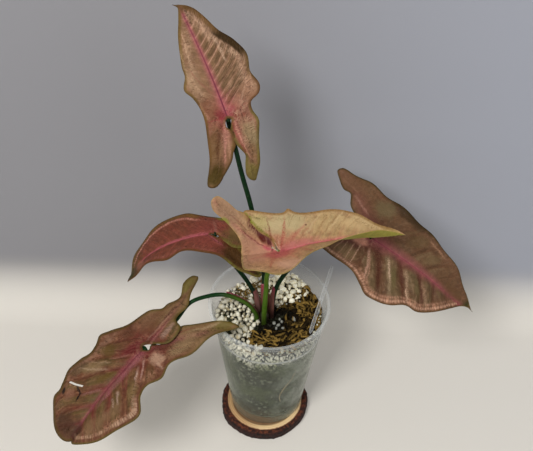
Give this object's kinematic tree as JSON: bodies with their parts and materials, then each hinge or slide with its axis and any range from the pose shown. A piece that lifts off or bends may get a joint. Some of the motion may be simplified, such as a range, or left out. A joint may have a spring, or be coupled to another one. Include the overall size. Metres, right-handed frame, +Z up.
{
  "type": "arrowhead plant in a clear cup",
  "caption": "Arrowhead plant with wavy pink and bronze leaves on thin petioles, growing in a clear plastic cup that stands on a bark-edged slice of wood.",
  "frame": {"origin": "on the cup's axis, at the underside of the wood slice", "axes": "+Z up along the cup's axis, -Y towards the front, +X to the right seen from the front"},
  "size_m": [0.3227, 0.2047, 0.3795],
  "materials": {
    "slice_wood": "matte",
    "clear_plastic": "gloss",
    "dark_soil": "matte",
    "white_pumice": "matte",
    "brown_moss": "matte",
    "tan_root": "matte",
    "green_stem": "satin",
    "clear_strip": "gloss",
    "skin_leaf_top": "satin",
    "skin_leaf_right": "satin",
    "skin_leaf_centre": "satin",
    "skin_leaf_left": "satin",
    "skin_leaf_low": "satin",
    "dark_petiole": "satin",
    "pale_petiole": "satin"
  },
  "bodies": {
    "root": {"wood_slice": "slice_wood", "cup": "clear_plastic", "soil": "dark_soil", "soil_top": "dark_soil", "pumice": "white_pumice", "moss": "brown_moss", "root": "tan_root", "crown": "green_stem", "plant_tag": "clear_strip", "leaf_top": "skin_leaf_top", "leaf_right": "skin_leaf_right", "leaf_centre": "skin_leaf_centre", "leaf_left": "skin_leaf_left", "leaf_low": "skin_leaf_low", "petiole_top": "dark_petiole", "petiole_right": "dark_petiole", "petiole_centre": "pale_petiole", "petiole_left": "dark_petiole", "petiole_low": "dark_petiole"}
  },
  "joints": []
}
